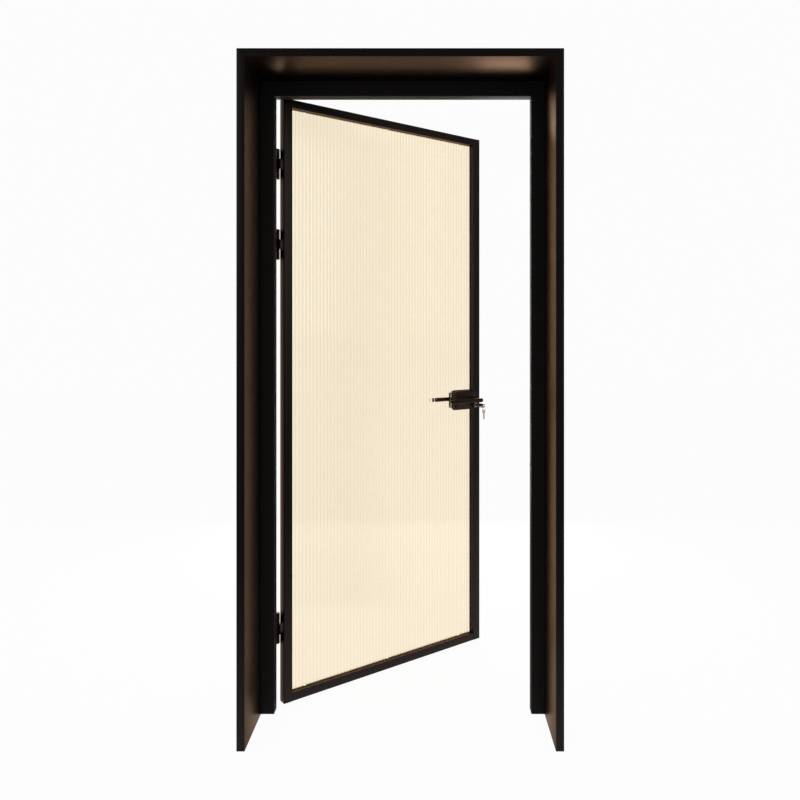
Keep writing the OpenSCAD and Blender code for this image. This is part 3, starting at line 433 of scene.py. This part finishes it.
# Glazing seals and setting blocks: black rubber strips on both faces of the pane, two blocks under
# it that carry its weight, and a strip round the lock box.
dress(["near_glass_seal", "far_glass_seal", "setting_blocks", "lock_box_seal"],
      "leaf", seal_rubber)

# Glazing beads: sloped strips of the same coated steel on the far side, which hold the pane. They are
# cut in between each other and fixed with small countersunk screws.
dress(["hinge_side_bead", "lock_side_beads", "top_bead", "bottom_bead"],
      "leaf", profile_coat, edge=0.0003)

# Lock box and covers: a bent steel strip welded to the lock stile closes the notch of the pane, and
# a 3 mm plate with rounded corners covers it on each face. All are coated satin black-brown.
cover_coat = powder_coat("cover_coat", (0.034, 0.024, 0.021, 1), (0.062, 0.044, 0.038, 1),
                         roughness=0.38, peel=0.00003)
dress(["lock_box", "near_lock_cover", "far_lock_cover"],
      "leaf", cover_coat, edge=0.0003)

# Lock: a closed case of bent steel sheet with a follower inside, and a stainless faceplate let into
# the edge of the stile.
dress(["lock_case"], "leaf", bare_steel, edge=0.0002)
dress(["lock_faceplate"], "leaf", plate_steel, edge=0.0002)
dress(["lever_follower"], "levers", bare_steel)


# Screws: countersunk machine screws of plated steel, each with a six-sided socket in its head. They
# fix the hinges, beads, covers, faceplate and strike, and every one follows one rule of shape.
def socket_screw(wire, start, size):
    sides = 24
    head = wire.node("GeometryNodeMeshCone", {"fill_type": "NGON"}, {
        "Vertices": sides, "Radius Top": size["Shank radius"], "Radius Bottom": size["Head radius"],
        "Depth": size["Head height"]})
    shank = wire.node("GeometryNodeMeshCone", {"fill_type": "NGON"}, {
        "Vertices": sides, "Radius Top": size["Shank radius"] * 0.5,
        "Radius Bottom": size["Shank radius"] * 0.98,
        "Depth": size["Length"] - size["Head height"] * 0.5})
    lift = wire.node("ShaderNodeCombineXYZ", links={"Z": size["Head height"] * 0.5})
    shank = wire.node("GeometryNodeTransform", links={"Geometry": shank, "Translation": lift})
    socket = wire.node("GeometryNodeMeshCylinder", {"fill_type": "NGON"}, {
        "Vertices": 6, "Radius": size["Head radius"] * 0.42, "Depth": size["Head height"] * 1.5})
    solid = wire.node("GeometryNodeMeshBoolean", {"operation": "UNION", "solver": "EXACT"}, {
        "Mesh 2": [head, shank]})
    solid = wire.node("GeometryNodeMeshBoolean", {"operation": "DIFFERENCE", "solver": "EXACT"}, {
        "Mesh 1": solid, "Mesh 2": socket})
    aim = wire.node("GeometryNodeInputNamedAttribute", {"data_type": "FLOAT_VECTOR"}, {"Name": "aim"})
    turn = wire.node("FunctionNodeAlignRotationToVector", {"axis": "Z"}, {"Vector": aim})
    return wire.node("GeometryNodeInstanceOnPoints", links={
        "Points": start, "Instance": solid, "Rotation": turn})


def screws(node, body, spots, place, head, shank, height, length):
    start = bpy.data.meshes.new(node + "_spots")
    start.from_pydata([place @ Vector(spot) for spot, aim in spots], [], [])
    aims = start.attributes.new("aim", "FLOAT_VECTOR", "POINT")
    for number, (spot, aim) in enumerate(spots):
        aims.data[number].vector = place.to_3x3() @ Vector(aim)
    piece = grown("socket_" + node, {
        "Head radius": head, "Shank radius": shank, "Head height": height, "Length": length},
        socket_screw, screw_steel, start)
    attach(piece, body)
    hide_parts(node)


def row(heights, across, depth, aim):
    return [((across, depth, z), aim) for z in heights]


screw_steel = brushed_steel("screw_steel", (0.30, 0.30, 0.29, 1), (0.50, 0.50, 0.48, 1), roughness=0.32)
frame_place = Matrix.Identity(4)
to_near, to_lock, to_hinge = (0, -1, 0), (1, 0, 0), (-1, 0, 0)
hinge_middles, screw_rise = (0.247, 1.585, 1.865), 0.034
hinge_heights = [z + side * screw_rise for z in hinge_middles for side in (-1, 1)]
screws("hinge_jamb_screws", "frame", row(hinge_heights, 0.0485, 0.293, to_near), frame_place,
       head=0.0046, shank=0.0025, height=0.0024, length=0.016)
screws("hinge_door_screws", "leaf", row(hinge_heights, 0.0085, 0.036, to_near), leaf_place,
       head=0.0046, shank=0.0025, height=0.0024, length=0.016)
plate_heights = (0.940, 1.064)
screws("strike_screws", "frame", row(plate_heights, 0.9455, 0.273, to_lock), frame_place,
       head=0.0040, shank=0.0020, height=0.0015, length=0.016)
screws("faceplate_screws", "leaf", row(plate_heights, 0.886, 0.016, to_hinge), leaf_place,
       head=0.0040, shank=0.0020, height=0.0018, length=0.007)
cover_spots = row((0.977, 1.027), 0.764, 0.035, to_near) + row((1.002,), 0.801, 0.035, to_near)
screws("cover_screws", "leaf", cover_spots, leaf_place,
       head=0.0040, shank=0.0020, height=0.0020, length=0.035)
bead_t, side_step, rail_step = 0.0281, 0.3842, 0.3505
bead_spots = row([0.083 + i * side_step for i in range(6)], 0.031, bead_t, to_hinge)
bead_spots += row((0.083, 0.4935, 0.904, 1.100, 1.552, 2.004), 0.852, bead_t, to_lock)
bead_spots += [((0.091 + i * rail_step, bead_t, z), (0, 0, aim)) for i in range(3)
               for z, aim in ((0.033, -1), (2.054, 1))]
screws("bead_screws", "leaf", bead_spots, leaf_place,
       head=0.0024, shank=0.0012, height=0.0012, length=0.013)

# Levers: a flat bar with rounded edges and ends on a round neck, one on each face, coated like the
# covers. They are pushed on a square steel spindle, and each neck turns in a small rose.
lever_coat = powder_coat("lever_coat", (0.030, 0.021, 0.019, 1), (0.056, 0.040, 0.035, 1),
                         roughness=0.34, peel=0.00002)
dress(["near_lever", "far_lever"], "levers", lever_coat)
dress(["lever_roses"], "leaf", lever_coat, edge=0.0003)
dress(["lever_spindle"], "levers", bare_steel, edge=0.0004)

# Bolts: a sloped steel latch that the levers draw in, and a square dead bolt under it that the key
# throws. Both slide in the lock case.
dress(["latch_bolt"], "latch", plate_steel, edge=0.0005)
dress(["dead_bolt"], "bolt", plate_steel, edge=0.0004)

# Key cylinder: two nickel-plated brass halves with a plug that turns in the near one, held in the
# lock case by one screw.
nickel = brushed_steel("worn_nickel", (0.20, 0.19, 0.16, 1), (0.38, 0.36, 0.30, 1), roughness=0.30)
dress(["cylinder_halves"], "leaf", nickel, edge=0.0004)
dress(["cylinder_plug"], "key", nickel, edge=0.0002)

# Keys: two flat keys stamped from nickel-plated brass, one in the cylinder and one hanging from it
# on a steel ring.
key_nickel = brushed_steel("key_nickel", (0.40, 0.38, 0.30, 1), (0.62, 0.60, 0.50, 1), roughness=0.26)
dress(["key", "spare_key"], "key", key_nickel, edge=0.0003)
dress(["key_ring"], "key", plate_steel)
